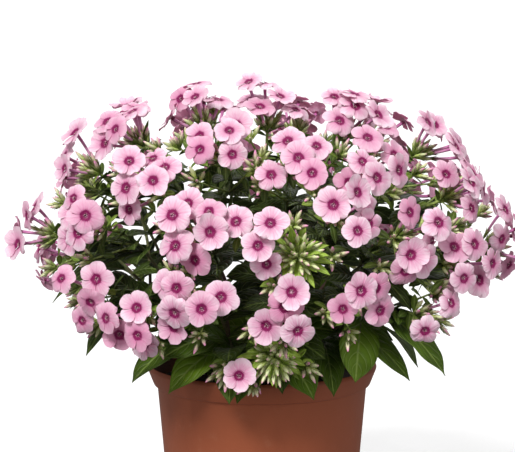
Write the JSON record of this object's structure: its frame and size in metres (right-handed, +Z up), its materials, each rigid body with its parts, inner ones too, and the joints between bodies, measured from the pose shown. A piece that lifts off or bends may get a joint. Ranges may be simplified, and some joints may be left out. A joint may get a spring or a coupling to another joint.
{
  "type": "potted garden phlox",
  "caption": "Compact flowering plant in a round tapered pot: forked leafy stems carry a dome of flat pink flowers with dark eyes, and pointed buds.",
  "frame": {"origin": "middle of the pot's flat base, on the surface that it stands on", "axes": "+Z up along the pot's axis, -Y towards the plant's front, +X to its right as seen from the front"},
  "size_m": [0.3774, 0.3519, 0.3507],
  "materials": {
    "pot": "satin",
    "soil": "matte",
    "leaf": "satin",
    "flower": "matte",
    "bud": "matte"
  },
  "bodies": {
    "root": {"pot": "pot", "soil": "soil", "stem_01": "leaf", "stem_02": "leaf", "stem_03": "leaf", "stem_04": "leaf", "stem_05": "leaf", "stem_06": "leaf", "stem_07": "leaf", "stem_08": "leaf", "stem_09": "leaf", "stem_10": "leaf", "stem_11": "leaf", "stem_12": "leaf", "stem_13": "leaf", "stem_14": "leaf", "flower_head_01": "flower", "flower_head_02": "flower", "flower_head_03": "flower", "flower_head_04": "flower", "flower_head_05": "flower", "flower_head_06": "flower", "flower_head_07": "flower", "flower_head_08": "flower", "flower_head_09": "flower", "flower_head_10": "flower", "flower_head_11": "flower", "flower_head_12": "flower", "flower_head_13": "flower", "flower_head_14": "flower", "flower_head_15": "flower", "flower_head_16": "flower", "flower_head_17": "flower", "flower_head_18": "flower", "flower_head_19": "flower", "flower_head_20": "flower", "flower_head_21": "flower", "bud_head_22": "bud", "flower_head_23": "flower", "bud_head_24": "bud", "flower_head_25": "flower", "flower_head_26": "flower", "flower_head_27": "flower", "flower_head_28": "flower", "flower_head_29": "flower", "flower_head_30": "flower", "flower_head_31": "flower", "flower_head_32": "flower", "flower_head_33": "flower", "flower_head_34": "flower", "flower_head_35": "flower", "flower_head_36": "flower", "flower_head_37": "flower", "flower_head_38": "flower", "flower_head_39": "flower", "flower_head_40": "flower", "flower_head_41": "flower", "flower_head_42": "flower", "flower_head_43": "flower", "flower_head_44": "flower"}
  },
  "joints": []
}
